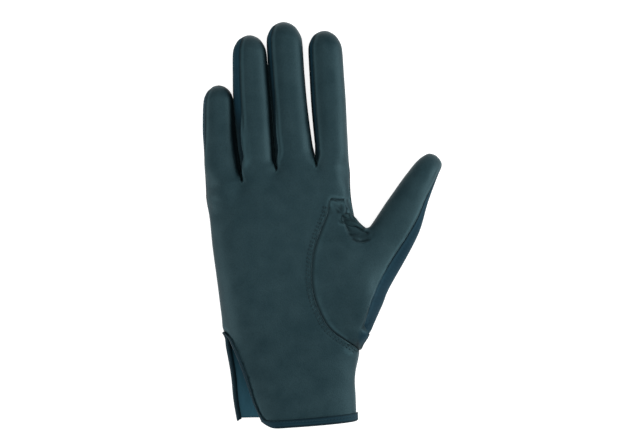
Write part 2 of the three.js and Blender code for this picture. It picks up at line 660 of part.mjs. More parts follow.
// A panel: outer skin, inner skin one wall further in, and walls along the border
function panelMesh(name, triangles, wall, material) {
  const borders = bordersOf(name, triangles);
  const pulls = new Map();
  for (const { a, b, inward, isSeam } of borders) {
    if (!isSeam) continue;
    for (const id of [a, b]) pulls.set(id, [...(pulls.get(id) ?? []), inward]);
  }
  const ids = [...new Set(triangles.flat())];
  const index = new Map(ids.map((id, i) => [id, i]));
  const outer = ids.map((id) => {
    const p = points[id].clone();
    return pulls.has(id) ? p.addScaledVector(meetAll(pulls.get(id), MOST_PULL), SEAM_GAP / 2) : p;
  });
  const inner = ids.map((id, i) => outer[i].clone().addScaledVector(outward[id], -wall));
  const count = ids.length;
  const faces = triangles.flatMap((t) => {
    const [a, b, c] = t.map((id) => index.get(id));
    return [[a, b, c], [c + count, b + count, a + count]];
  });
  for (const border of borders) {
    const [a, b] = [index.get(border.a), index.get(border.b)];
    if (border.a < border.b) faces.push([b, a, a + count], [b, a + count, b + count]);
    else faces.push([b, a, b + count], [a, a + count, b + count]);
  }
  return meshOf(name, [...outer, ...inner], faces, material);
}

const LAP_STEPS = 3; // steps of the route round the corner over which the lap grows

// Binding: a folded strip with a U section, swept along the free edges of back vent, palm vent and palm hem
function bindingMesh(name, material) {
  const route = [];
  const besideApex = (row) => (row === VENT_ROW - 1 ? VENT_ROW : row);
  for (let row = 0; row < VENT_ROW; row += 1) {
    route.push({ id: back[row][0], inner: back[besideApex(row)][1] });
  }
  route.push({ id: front[VENT_ROW][0], inner: front[VENT_ROW + 1][0] });
  for (let row = VENT_ROW - 1; row > 0; row -= 1) {
    route.push({ id: front[row][0], inner: front[besideApex(row)][1] });
  }
  const corner = route.length;
  route.push({ id: front[0][0], inner: front[1][1] });
  for (let column = 1; column <= WEB_LEFT; column += 1) {
    route.push({ id: front[0][column], inner: front[1][column] });
  }
  const free = skin
    .filter((patch) => patch.name === "palm_panel" || patch.name === "back_panel")
    .flatMap((patch) => bordersOf(patch.name, patch.triangles))
    .filter((border) => !border.isSeam);
  const wall = Math.max(LEATHER_WALL, STRETCH_WALL);
  const positions = [];
  route.forEach(({ id, inner }, step) => {
    const beside = free.filter((border) => border.a === id || border.b === id);
    const inward = meetAll(beside.map((border) => border.inward), MOST_FOLD);
    const lap = lerp(VENT_BINDING_LAP, HEM_BINDING_LAP, ease((step - corner + 1) / LAP_STEPS));
    const lapShare = lap / points[id].distanceTo(points[inner]);
    const lapEnd = points[id].clone().lerp(points[inner], lapShare);
    const lapUp = outward[id].clone().lerp(outward[inner], lapShare);
    const open = Math.abs(step - VENT_ROW) < 2 ? APEX_CLEARANCE : BINDING_CLEARANCE;
    const fold = open + BINDING_SHEET;
    const shift = new THREE.Vector3();
    const before = route[step - 1];
    if (step === route.length - 1) shift.copy(points[before.id]).sub(points[id]).setLength(2 * SEAM_GAP);
    if (step === 0) shift.copy(points[id]).sub(points[route[1].id]).setLength(TAPE_END);
    const edge = (out, up) => {
      const p = points[id].clone().addScaledVector(inward, -out);
      return p.addScaledVector(outward[id], up);
    };
    const over = (up) => lapEnd.clone().addScaledVector(lapUp, up);
    const section = [
      over(open), over(fold), edge(open, fold), edge(fold, open), edge(fold, -wall - open),
      edge(open, -wall - fold), over(-wall - fold), over(-wall - open), edge(open, -wall - open),
      edge(open, open),
    ];
    positions.push(...section.map((p) => p.add(shift)));
  });
  const sides = 10;
  const faces = [];
  for (let step = 0; step + 1 < route.length; step += 1) {
    for (let i = 0; i < sides; i += 1) {
      const [a, b] = [step * sides + i, step * sides + ((i + 1) % sides)];
      faces.push([a, b, b + sides], [a, b + sides, a + sides]);
    }
  }
  const cap = [[0, 1, 2], [0, 2, 9], [2, 3, 9], [3, 4, 9], [4, 8, 9], [4, 5, 8], [5, 6, 8], [6, 7, 8]];
  const end = (route.length - 1) * sides;
  for (const [a, b, c] of cap) {
    faces.push([c, b, a], [a + end, b + end, c + end]);
  }
  return meshOf(name, positions, faces, material);
}

// Materials
const leather = () => new THREE.MeshStandardMaterial({ color: 0x2a4046, roughness: 0.55, metalness: 0 });
const stretch = () => new THREE.MeshStandardMaterial({ color: 0x1f3444, roughness: 0.8, metalness: 0 });
const tape = () => new THREE.MeshStandardMaterial({ color: 0x122530, roughness: 0.7, metalness: 0 });

const glove = new THREE.Group();
for (const { name, triangles } of skin) {
  const isLeather = name === "palm_panel" || name === "thumb_palm" || name === "thumb_gusset";
  const wall = isLeather ? LEATHER_WALL : STRETCH_WALL;
  glove.add(panelMesh(name, triangles, wall, isLeather ? leather() : stretch()));
}
glove.add(bindingMesh("edge_binding", tape()));

export default glove;
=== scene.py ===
"""Looks of a right-hand riding glove that lies on its back, palm up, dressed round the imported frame.

Every CAD panel becomes a smooth piece with rolled edges in leather or stretch cloth, with its seams,
creases and pleats as geometry. The stitches are pieces of their own. Places and sizes are millimetres in
the row's own frame, where x and y are as in the photograph and z rises from the surface below.
"""

import math

import bmesh
import bpy
import numpy as np
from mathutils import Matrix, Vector, noise
from mathutils.bvhtree import BVHTree
from mathutils.kdtree import KDTree


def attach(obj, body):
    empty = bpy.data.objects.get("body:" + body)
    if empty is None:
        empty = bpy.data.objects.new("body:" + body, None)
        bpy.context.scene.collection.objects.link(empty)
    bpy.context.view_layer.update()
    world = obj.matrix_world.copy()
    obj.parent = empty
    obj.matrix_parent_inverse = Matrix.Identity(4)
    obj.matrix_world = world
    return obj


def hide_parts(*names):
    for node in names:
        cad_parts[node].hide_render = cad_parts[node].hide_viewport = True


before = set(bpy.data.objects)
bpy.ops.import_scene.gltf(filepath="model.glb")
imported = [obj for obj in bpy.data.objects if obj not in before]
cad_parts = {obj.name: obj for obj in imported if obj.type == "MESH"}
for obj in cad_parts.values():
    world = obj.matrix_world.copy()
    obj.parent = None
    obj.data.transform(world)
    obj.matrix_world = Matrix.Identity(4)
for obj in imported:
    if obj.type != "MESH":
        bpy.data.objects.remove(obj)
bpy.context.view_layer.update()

MM = 0.001
DOWN = Vector((0, 0, -1))
ABOVE = 100  # height from which pieces are looked at
TINY = 1e-9  # keeps a division from failing

# Panels: CAD node, piece, material and record slot
PANELS = [
    ("palm_panel", "palm", "leather", "palm_leather"),
    ("thumb_palm", "thumb_front", "leather", "thumb_leather"),
    # the gusset's darker leather is painted shade for the web's recess
    ("thumb_gusset", "web_gusset", "gusset", "gusset_leather"),
    ("back_panel", "back", "stretch", "stretch_back"),
    ("thumb_back", "thumb_side", "stretch", "thumb_stretch"),
    ("fourchette_little_ring", "strip_little_ring", "strip", "stretch_strips"),
    ("fourchette_ring_middle", "strip_ring_middle", "strip", "stretch_strips"),
    ("fourchette_middle_index", "strip_middle_index", "strip", "stretch_strips"),
    ("edge_binding", "cuff_binding", "binding", "binding_tape"),
]
kinds = {name: kind for _, name, kind, _ in PANELS}
STRIPS = [name for name, kind in kinds.items() if kind == "strip"]

# How a shell becomes a smooth piece
MERGE = 0.004  # points this close are one
WALL_MOST = 2.3  # a skin has its other side within this depth
WALL_START = 0.01  # depth at which the search for the other side begins
WALL_OPPOSITE = 0.6  # cosine of the turn by which the other side may differ from parallel
EDGE_ROLL = 0.5  # radius of a panel's rolled edge
TAPE_ROLL = 0.28
ROLL_SEGMENTS = 2
SHARP_DEGREES = 42  # the tape's border edges are at least this sharp
QUAD_DEGREES = {"face": 60, "shape": 80}  # limits up to which two triangles become a quad
BORDER_SHARES = (0, 0.25, 0.5, 0.75)  # places along a border edge that stand for it
LEVELS = 2  # of subdivision
FIT_ROUNDS = 3
FIT_STEP = 0.8  # share of the distance that a round makes good

# Points are evened out where the palm turns into finger bases, and less over the rest of the palm
EVEN_ROUNDS = 130
EVEN_STEP = 0.5
EVEN_FROM_EDGE = (0.4, 2.4)  # distance from the panel's edge over which it grows
KNUCKLES_BEGIN = (10, 20)  # y where the evening grows
KNUCKLES_END = (36, 58)  # y where it fades
PALM_EVEN = 0.35
WRIST = (-45, -30)  # y below which it is nearly full again
WRIST_EVEN = 0.9

# Channels between fingers, where the strips meet low down: x and y of the end at the crotch and of the
# far end of the closed stretch
CHANNELS = [
    ((-47.4, 24.3), (-54.6, 82)),
    ((-27.0, 31.4), (-33.6, 104)),
    ((-3.3, 34.0), (-5.2, 50)),
]
CHANNEL_STEP = 0.75  # between the places where the middle is looked for
CHANNEL_PAST = 2  # how far past both ends it is looked for
CHANNEL_SEARCH = 2.5  # how far to either side of the straight line
CHANNEL_FINE = 0.1  # between the rays
CHANNEL_REACH = 4.5  # how far from the middle cloth is moved
CHANNEL_PULL = 1.6  # how soon the pull is full towards the middle
CHANNEL_LOW = (4, 8)  # z below which they meet, and above which they are apart
CHANNEL_BEGIN = 3  # stretch over which the pull grows from the crotch
CHANNEL_FADE = 9  # stretch over which it fades at the far end

# The first two channels get narrower: leather's edge from the middle as built and where it belongs low
# down, and the y where this fades
SLOTS = [
    {"built": 4.85, "wanted": 1.8, "fade": (46, 72)},
    {"built": 3.2, "wanted": 1.8, "fade": (50, 80)},
]
SLOT_REACH = 9  # how far from the middle the leather is moved
SLOT_BEGIN = (-4, 4)  # y from the crotch's end, where the narrowing grows
SLOT_HIGH = (5, 8)  # z below which the cloth stays, and above which leather and cloth are moved

# Shade of the strips: y below which it is deep and above which there is none, and how deep it is
STRIP_SHADE = {
    "strip_little_ring": {"fade": (54, 76), "depth": 0.85},
    "strip_ring_middle": {"fade": (62, 112), "depth": 0.8},
    "strip_middle_index": {"fade": (34, 70), "depth": 0.7},
}

# The gusset's lower seam sags towards the thumb: place, shift and reach of each pull
WEB_PULLS = [
    ((18.4, -3.4), (-2.4, -2.2), 3.6),
    ((24.4, -8.6), (-0.6, -1.6), 3.0),
    ((27.4, -7.4), (1.6, -0.4), 2.6),
]
WEB_EDGE = [(18.9, 4.0), (19.8, 0.4), (23.6, -3.2), (27.6, -5.0), (31.0, 1.0)]  # stays in place
WEB_HOLD = 3.5  # distance from this edge over which the pulls grow

# The binding's fold is round at the vent's apex: place, shift and reach
APEX_PULLS = [((-60.6, -62.7), (2.3, -1.3), 1.9)]

# Edge of the thumb's leather on its outer side, low down, as pairs of y and x
THUMB_EDGE = [
    (-71.7, 21.4), (-63.3, 23.6), (-54.3, 26.6), (-45.9, 28.8), (-35.1, 33.6), (-23.7, 39.9),
]
THUMB_EDGE_LOW = (7, 10)  # z below which the cloth stays, and above which it is moved
THUMB_CORNER_TOP = -48  # y below which the leather's lower corner is covered by the cloth
THUMB_CORNER_BLEND = 0.5  # width over which leather turns into cloth there
THUMB_SEARCH = (-12, 56)  # x between which the leather's edge is looked for
THUMB_FINE = 0.15  # between the rays
THUMB_STEP = 0.75
THUMB_BARED = (0.4, 1.8)  # width of the cloth below which the edge stays, and above which it is moved
THUMB_SMOOTHING = 4
THUMB_LEAST = 0.1  # least width of the cloth that is reckoned with

# Outline of the glove by the thumb's lower corner, as pairs of y and x
THUMB_OUTLINE = [
    (-75.2, 22.9), (-71.0, 25.4), (-66.9, 28.2), (-61.4, 30.5), (-52.2, 34.6), (-40.3, 40.1),
]
OUTLINE_REACH = 7  # how far in from the outline a piece follows it
OUTLINE_FADE = (3, 9)  # stretch over which this fades at the lower and the upper end
OUTLINE_SEARCH = (10, 50)
OUTLINE_FINE = 0.1  # between the rays
OUTLINE_STEP = 0.5
OUTLINE_SMOOTHING = 3

# Set-in thumb seam: where it is looked for, and how
SEAM_Y = (-75.4, 10.4)
SEAM_X = (-14, 26)
SEAM_STEP = 0.5
SEAM_FINE = 0.1  # between the rays
SEAM_SMOOTHING = 6
LINE_STEP = 1  # between the points of a line once it is found
CURVE_STEP = 0.5  # between the points of a drawn curve
CURVE_PARTS = 24  # parts that a curve has between two of its given points

# Relief of the set-in thumb seam: distance from the seam, half width and height
WELT = {"at": 0.85, "wide": 0.55, "rise": 0.4}
STITCH_ROWS = (1.7, 3.1)
STITCH_GROOVE = {"wide": 0.5, "drop": 0.24}

# Creases and pleats round the web: points as x and y, depth and half width
CREASES = [
    {"line": [(6.0, 8.8), (9.6, 7.3), (12.8, 4.0)], "drop": 0.7, "wide": 0.5},
    {
        "line": [
            (3.9, 13.8), (9.5, 14.2), (14.8, 13.9), (16.1, 11.3), (17.2, 8.1), (18.8, 4.0), (19.6, 0),
        ],
        "drop": 0.55, "wide": 0.55,
    },
    {"line": [(8.9, 11.8), (10.4, 11.2), (12, 10.2)], "drop": 0.45, "wide": 0.4},
    {"line": [(10.7, 9.7), (10.9, 8.2), (10.4, 6.7)], "drop": 0.45, "wide": 0.4},
    {"line": [(12.6, 8.8), (12.5, 7), (11.8, 5.1)], "drop": 0.5, "wide": 0.42},
    {"line": [(14.5, 9.4), (14.3, 6.8), (13.4, 4)], "drop": 0.5, "wide": 0.42},
    {"line": [(13.7, 4), (14.4, 2.9), (15.5, 1.6)], "drop": 0.5, "wide": 0.45},
    {"line": [(16.1, 5.1), (16.7, 3.2), (17.7, 1.1)], "drop": 0.5, "wide": 0.45},
    {
        "line": [
            (12.8, 4.0), (13.8, 0), (15.9, -4.6), (19.0, -9.4), (21.5, -10.3), (24.5, -10.2), (27.4, -9.4),
        ],
        "drop": 0.8, "wide": 0.75,
    },
    {"line": [(20.3, -2.0), (23.6, -4.2), (27.0, -5.6)], "drop": 0.8, "wide": 0.6},
]
CREASE_SIDES = {"at": 1.8, "rise": 0.4}  # the leather rises beside a crease, in its widths and depths
CREASE_SHADE = 0.8  # width of its shade, share of its own
GUSSET = [  # outline of the recess in which the gusset lies
    (13.2, 4.2), (14.6, -0.6), (16.6, -4.4), (19.3, -9.0), (24.4, -9.8), (28.2, -8.2), (27.4, -5.2),
    (20.2, -1.4),
]

# Shades beside edges and in recesses: depth and half width
EDGE_SHADE = {"depth": 0.6, "wide": 0.7}
SEAM_SHADE = {"depth": 0.95, "wide": 0.75}
GROOVE_SHADE = {"depth": 0.3, "wide": 0.4}
CORNER_SHADE = {"depth": 0.9, "wide": 0.4}
GUSSET_SHADE = {"depth": 0.5, "wide": 0.8}

# Wear and a painted highlight beside the edges, and slack of leather and cloth
EDGE_WEAR_AND_HIGHLIGHT = {"at": 1.3, "wide": 0.7}
SLACK = {"size": 14, "rise": 0.12, "from_edge": (0.5, 3.5)}
SLACK_OFFSETS = (17.3, 5.1, 9.7)  # steps of the noise from piece to piece
SLACK_NOISE = (0.9, 2.1, 3)  # fall of the octaves, their spacing and number
LIFT = 0.02  # least height over the floor

# The back's inner side shows in the vent, painted much lighter than the cloth to lift the shade there
INSIDE = (-62, -58)  # y below which it is seen, and where it ends
INSIDE_FACING = (0, 0.5)  # upward share of the normal over which it grows

# Shelter: rays and reach with which the places deep between fingers are found, for the painted shade there
SHELTER_RAYS = 10
SHELTER_REACH = 11
SHELTER_FROM_Y = 8
SHELTER_START = 0.1

# Stitches: distance apart, length and radius of the thread
THUMB_STITCH = {"pitch": 2.4, "length": 1.75, "thread": 0.27}
BINDING_STITCH = {"pitch": 1.9, "length": 1.35, "thread": 0.17}
STITCH_RINGS = 7
STITCH_SIDES = 6
STITCH_LIFT = 0.55  # of its middle over the leather, in radii
STITCH_DIVE = 1.3  # by which its ends go down, in radii
STITCH_THINNING = 0.35  # towards the ends

# Row of stitches along the binding, on the palm's side from the vent's apex to the hem's end
BINDING_LINE = [
    (-56.2, -64.4), (-54.4, -66.6), (-50.8, -73.4), (-46.4, -81.3), (-43.8, -91), (-41.6, -98.9),
    (-39.4, -106.4), (-35.9, -111.7), (-31.9, -115.0), (-25, -116.2), (0, -115.3), (20.2, -114.2),
]
BINDING_OUT = -0.95  # of the stitches from this line

# Materials: dark and light colour, grain cells and pores or pitch of the knit, roughness, gloss, sheen,
# depth of the bump, size of the mottling, darkest share in the grain, wear with a painted highlight at the
# edges and its colour
SURFACES = {
    "leather": dict(
        dark=(0.0078, 0.0195, 0.0245), light=(0.0136, 0.0288, 0.0346), cell=0.75, fine=0.3, rough=0.5,
        gloss=0.16, sheen=0.04, bump=0.09, mottle=11, low=0.78, wear_and_highlight=0.5, worn_and_lit=(0.03, 0.064, 0.075),
    ),
    # The gusset is a darker copy of the leather: painted shade for the web's recess
    "gusset": dict(
        dark=(0.003, 0.0095, 0.012), light=(0.007, 0.019, 0.022), cell=0.7, fine=0.3, rough=0.55,
        gloss=0.15, sheen=0.03, bump=0.09, mottle=5, low=0.78, wear_and_highlight=0.3, worn_and_lit=(0.02, 0.045, 0.052),
    ),
    "stretch": dict(
        dark=(0.0032, 0.0145, 0.0245), light=(0.0058, 0.021, 0.0325), pitch=0.62, rough=0.8,
        gloss=0.12, sheen=0.08, bump=0.08, mottle=9, low=0.88, wear_and_highlight=0.2, worn_and_lit=(0.02, 0.056, 0.078),
    ),
    "strip": dict(
        dark=(0.0028, 0.0155, 0.026), light=(0.005, 0.0225, 0.035), pitch=0.55, rough=0.8,
        gloss=0.1, sheen=0.06, bump=0.07, mottle=7, low=0.88, wear_and_highlight=0.2, worn_and_lit=(0.016, 0.046, 0.064),
    ),
    "binding": dict(
        dark=(0.002, 0.0095, 0.017), light=(0.004, 0.0155, 0.0245), pitch=0.45, rough=0.6,
        gloss=0.14, sheen=0.04, bump=0.04, mottle=6, low=0.9, wear_and_highlight=0.3, worn_and_lit=(0.012, 0.036, 0.05),
    ),
    "thread": dict(
        dark=(0.002, 0.006, 0.009), light=(0.006, 0.014, 0.018), pitch=0.25, rough=0.6,
        gloss=0.3, sheen=0.1, bump=0.03, mottle=3, low=0.9, wear_and_highlight=0, worn_and_lit=(0.006, 0.014, 0.018),
    ),
}
PAINTED_SHADE_COLOUR = (0.001, 0.0028, 0.0042, 1)  # painted shade in seams, creases, recesses and deep between fingers
# painted light for the back's inner side, which lies in shade in the vent
INSIDE_PAINTED_LIGHT_COLOUR = (0.034, 0.105, 0.145, 1)
HIDDEN = {"from": 0.2, "to": 0.62, "depth": 0.92}  # share of the sky missed, and the shade it gives
MOTTLE_RANGE = (0.3, 0.7)
HEIGHT_RANGE = (0.2, 1.2)
HEIGHT_LIGHT = 1.1  # lightest share, on the grain's high places
ROUGH_RANGE = (-0.08, 0.1)  # how far the mottling takes roughness down and up
MOTTLE_DETAIL = 4
PORES = {"detail": 3, "share": 0.6}
KNIT_TURN = math.radians(45)
KNIT_WAVER = 0.6
KNIT_DETAIL = 1
WAVE_RATE = 10  # a wave texture repeats after pi / (this * its scale)
BUMP_STRENGTH = 0.6
SHEEN_ROUGHNESS = 0.4
SHEEN_TINT = (0.35, 0.7, 0.8, 1)
SPECULAR_TINT = (0.5, 0.9, 1, 1)

# Camera over the middle of the photograph, 0.6 mm a pixel at the height of the glove's outline
LENS = 85
SENSOR = 36
VIEW_WIDTH = 384  # 640 pixels
VIEW_MIDDLE = (-1.2, 2.4, 8)

# Studio: floor, and name, place, size and power of each soft box, which points at the palm
FLOOR_SIZE = 6000
FLOOR_GREY = (0.5, 0.5, 0.5, 1)
FLOOR_ROUGHNESS = 0.9
FLOOR_GLOW = 0.8
WHITE = (1, 1, 1, 1)
WORLD_LIGHT = 0.4
LIGHTS = [
    ("right_box", (760, 60, 360), 400, 9),
    ("left_box", (-800, -220, 300), 400, 4.6),
    ("top_box", (-60, 200, 1300), 900, 6),
]

pieces = {}  # every finished piece by its name
borders = {}  # points along the border of each panel


# Numbers and lines
def ease(x):
    """A smooth step from 0 to 1."""
    s = np.clip(x, 0, 1)
    return s * s * (3 - 2 * s)


def ramp(x, start, end):
    """The same step between two values of x."""
    return ease((x - start) / (end - start))


def hump(x, wide):
    return np.exp(-((x / wide) ** 2))


def shade(away, look):
    return look["depth"] * hump(away, look["wide"])


def respaced(line, step):
    """A line as points one step apart."""
    lengths = np.concatenate([[0], np.cumsum(np.linalg.norm(np.diff(line, axis=0), axis=1))])
    count = max(int(round(lengths[-1] / step)), 1)
    at = np.linspace(0, lengths[-1], count + 1)
    return np.stack([np.interp(at, lengths, line[:, k]) for k in range(line.shape[1])], axis=1)


def smooth_line(points, step):
    """A curve through the points, as points one step apart."""
    p = np.array([points[0], *points, points[-1]], dtype=float)
    p[0] = 2 * p[1] - p[2]
    p[-1] = 2 * p[-2] - p[-3]
    shares = np.linspace(0, 1, CURVE_PARTS, endpoint=False)[:, None]
    line = []
    for a, b, c, d in zip(p, p[1:], p[2:], p[3:]):
        line.append(
            b + (c - a) / 2 * shares + (a - 2.5 * b + 2 * c - d / 2) * shares ** 2
            + (1.5 * (b - c) + (d - a) / 2) * shares ** 3
        )
    return respaced(np.vstack([*line, p[-2:-1]]), step)


def smoothed(rows, rounds):
    """Rows evened out with the ones before and after them, the two ends kept."""
    rows = np.array(rows, dtype=float)
    for _ in range(rounds):
        rows[1:-1] = (rows[:-2] + 2 * rows[1:-1] + rows[2:]) / 4
    return rows


def beside(line, offset):
    """A line moved to its left, as seen along it."""
    along = np.gradient(line, axis=0)
    along /= np.linalg.norm(along, axis=1)[:, None]
    moved = line + np.stack([-along[:, 1], along[:, 0]], axis=1) * offset
    return respaced(moved, LINE_STEP)


def distance(points, line):
    """Distance of each point from a line of points."""
    line = np.array(line, dtype=float)
    nearest = np.full(len(points), np.inf)
    for a, b in zip(line, line[1:]):
        ab = b - a
        share = np.clip(((points - a) @ ab) / max(ab @ ab, TINY), 0, 1)
        nearest = np.minimum(nearest, np.linalg.norm(points - a - share[:, None] * ab, axis=1))
    return nearest


def inside(points, outline):
    """Which points lie in an outline seen from above."""
    within = np.zeros(len(points), dtype=bool)
    corners = np.array(outline)
    for (ax, ay), (bx, by) in zip(corners, np.roll(corners, -1, axis=0)):
        crosses = (ay > points[:, 1]) != (by > points[:, 1])
        within ^= crosses & (points[:, 0] < ax + (points[:, 1] - ay) * (bx - ax) / (by - ay + TINY))
    return within


def nearest_of(points, samples):
    """Distance of each point from the nearest sample."""
    tree = KDTree(len(samples))
    for i, sample in enumerate(samples):
        tree.insert(sample, i)
    tree.balance()
    return np.array([tree.find(p)[2] for p in points])


def slack(points, seed):
    """Soft unevenness of worn leather and cloth, about -1 to 1."""
    offset = Vector(SLACK_OFFSETS) * seed
    return np.array([noise.fractal(Vector(p) / SLACK["size"] + offset, *SLACK_NOISE) for p in points])


# Meshes
def coordinates(mesh):
    """Vertex positions of a mesh in millimetres."""
    flat = np.empty(3 * len(mesh.vertices))
    mesh.vertices.foreach_get("co", flat)
    return flat.reshape(-1, 3) / MM


def normals(mesh):
    flat = np.empty(3 * len(mesh.vertices))
    mesh.vertex_normals.foreach_get("vector", flat)
    return flat.reshape(-1, 3)


def put(mesh, points):
    mesh.vertices.foreach_set("co", (np.asarray(points) * MM).ravel())
    mesh.update()


def keep_field(mesh, name, values):
    """One number for each vertex, for the materials to read."""
    field = mesh.attributes.new(name, "FLOAT", "POINT")
    field.data.foreach_set("value", np.asarray(values, dtype=np.float32))


def linked(name, data):
    """A new object in the scene."""
    obj = bpy.data.objects.new(name, data)
    bpy.context.scene.collection.objects.link(obj)
    return obj


def evaluated(obj):
    """A new mesh of an object with its modifiers applied."""
    graph = bpy.context.evaluated_depsgraph_get()
    return bpy.data.meshes.new_from_object(obj.evaluated_get(graph), depsgraph=graph)


def tree_of(names):
    """A search tree of some pieces, in millimetres."""
    verts, faces = [], []
    for name in names:
        first = len(verts)
        mesh = pieces[name].data
        verts += [v.co / MM for v in mesh.vertices]
        faces += [[first + i for i in p.vertices] for p in mesh.polygons]
    return BVHTree.FromPolygons(verts, faces)


def seen_from_above(tree, x, y):
    """Place and normal of what lies uppermost at x and y, or None for both."""
    return tree.ray_cast(Vector((x, y, ABOVE)), DOWN)[:2]


def is_open(tree, x, y):
    return seen_from_above(tree, x, y)[0] is None


# Smooth panels
def skins_of(net):
    """Faces of a shell with its other side close behind them. The rest are walls along its border."""
    tree = BVHTree.FromBMesh(net)
    skins = set()
    for face in net.faces:
        start = face.calc_center_median() - face.normal * WALL_START * MM
        _, normal, _, _ = tree.ray_cast(start, -face.normal, WALL_MOST * MM)
        if normal is not None and normal.dot(face.normal) < -WALL_OPPOSITE:
            skins.add(face)
    return skins


def cage_of(node, name):
    """A panel's CAD shell as quads with its border edges rolled, and points along those edges."""
    net = bmesh.new()
    net.from_mesh(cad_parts[node].data)
    bmesh.ops.remove_doubles(net, verts=net.verts, dist=MERGE * MM)
    net.normal_update()
    is_tape = kinds[name] == "binding"
    if is_tape:
        kept = [e for e in net.edges if e.calc_face_angle(0) > math.radians(SHARP_DEGREES)]
    else:
        skins = skins_of(net)
        kept = [e for e in net.edges if len({f in skins for f in e.link_faces}) == 2]
    ends = [[v.co.copy() for v in e.verts] for e in kept]
    samples = np.array([a.lerp(b, share) for a, b in ends for share in BORDER_SHARES]) / MM
    bmesh.ops.join_triangles(
        net, faces=net.faces,
        angle_face_threshold=math.radians(QUAD_DEGREES["face"]),
        angle_shape_threshold=math.radians(QUAD_DEGREES["shape"]),
    )
    bmesh.ops.bevel(
        net, geom=[e for e in kept if e.is_valid], offset=(TAPE_ROLL if is_tape else EDGE_ROLL) * MM,
        offset_type="OFFSET", segments=ROLL_SEGMENTS, profile=0.5, affect="EDGES", clamp_overlap=True,
    )
    mesh = bpy.data.meshes.new(name)
    net.to_mesh(mesh)
    net.free()
    return mesh, samples


def smooth_panel(node, name):
    """The cage subdivided so that the smooth surface runs through the cage's own points."""
    cage, samples = cage_of(node, name)
    obj = linked(name, cage)
    smoother = obj.modifiers.new("smooth", "SUBSURF")
    smoother.levels = smoother.render_levels = LEVELS
    wanted = coordinates(cage)
    held = wanted.copy()
    for _ in range(FIT_ROUNDS):
        made = evaluated(obj)
        held += (wanted - coordinates(made)[: len(wanted)]) * FIT_STEP
        bpy.data.meshes.remove(made)
        put(cage, held)
    smooth = evaluated(obj)
    obj.modifiers.clear()
    obj.data = smooth
    smooth.name = name
    smooth.shade_smooth()
    return obj, samples


# Channels between fingers
def channel_middles():
    """Middle of each gap between fingers, seen from above, as places y and x."""
    tree = tree_of(["palm", "back", *STRIPS])
    across = np.arange(-CHANNEL_SEARCH, CHANNEL_SEARCH, CHANNEL_FINE)
    lines = []
    for near, far in CHANNELS:
        line = []
        for y in np.arange(near[1] - CHANNEL_PAST, far[1] + CHANNEL_PAST, CHANNEL_STEP):
            guess = np.interp(y, (near[1], far[1]), (near[0], far[0]))
            seen = [x for x in guess + across if is_open(tree, x, y)]
            if seen:
                line.append((y, np.mean(seen)))
        lines.append(np.array(line).T)
    return lines


def close_channels(points, middles):
    """Brings the cloth of neighbouring fingers together low down in their channel."""
    y = points[:, 1]
    for (near, far), line in zip(CHANNELS, middles):
        middle = np.interp(y, *line)
        span = ramp(y - near[1], -CHANNEL_BEGIN, 0) * ramp(far[1] - y, 0, CHANNEL_FADE)
        low = 1 - ramp(points[:, 2], *CHANNEL_LOW)
        away = points[:, 0] - middle
        share = span * low * ease(CHANNEL_PULL * (1 - np.abs(away) / CHANNEL_REACH))
        points[:, 0] = middle + away * (1 - share)


def narrow_slots(points, middles):
    """Draws the leather's edge towards the channel's middle near the crotch."""
    x, y, z = points.T
    for (near, _), line, slot in zip(CHANNELS, middles, SLOTS):
        built = slot["built"]
        away = x - np.interp(y, *line)
        share = (1 - ramp(y, *slot["fade"])) * ramp(y - near[1], *SLOT_BEGIN)
        edge = built + (slot["wanted"] - built) * share
        outer = edge + (away - built) * (SLOT_REACH - edge) / (SLOT_REACH - built)
        moved = np.where(away < built, away * edge / built, outer)
        within = (away > 0) & (away < SLOT_REACH)
        points[:, 0] = np.where(within, x + (moved - away) * ramp(z, *SLOT_HIGH), x)


# Thumb
def seam_line():
    """The palm's edge along the set-in thumb, seen from above, from the wrist to the web."""
    tree = tree_of(["palm"])
    line = []
    for y in np.arange(*SEAM_Y, SEAM_STEP):
        x = SEAM_X[0]
        while x < SEAM_X[1] and not is_open(tree, x, y):
            x += SEAM_FINE
        line.append((x, y))
    return respaced(smoothed(line, SEAM_SMOOTHING), LINE_STEP)


def thumb_edges():
    """For steps of y: the thumb seam's x, the leather's outer edge, where it belongs, and the outline."""
    leather, cloth = tree_of(["thumb_front"]), tree_of(["thumb_side"])
    found = []
    for y in np.arange(SEAM_Y[0], THUMB_EDGE[-1][0], THUMB_STEP):
        tops = []
        for x in np.arange(*THUMB_SEARCH, THUMB_FINE):
            a = seen_from_above(leather, x, y)[0]
            b = seen_from_above(cloth, x, y)[0]
            if a is not None or b is not None:
                tops.append((x, a is not None and (b is None or a.z > b.z)))
        start = tops[0][0]
        outer = tops[-1][0]
        edge = max(x for x, is_leather in tops if is_leather)
        shift = min(np.interp(y, *np.array(THUMB_EDGE).T) - edge, 0)
        found.append((y, start, edge, edge + shift * ramp(outer - edge, *THUMB_BARED), outer))
    return smoothed(found, THUMB_SMOOTHING).T


def move_thumb_edge(points, found):
    """Slides leather and cloth sideways so that the leather's edge lies where it belongs."""
    x, y, z = points.T
    start, edge, wanted, outer = (np.interp(y, found[0], row) for row in found[1:])
    left = start + (x - start) * (wanted - start) / (edge - start)
    right = wanted + (x - edge) * (outer - wanted) / np.maximum(outer - edge, THUMB_LEAST)
    moved = np.where(x < edge, left, right)
    within = (x > start) & (x < outer) & (y < THUMB_EDGE[-1][0])
    points[:, 0] = np.where(within, x + (moved - x) * ramp(z, *THUMB_EDGE_LOW), x)


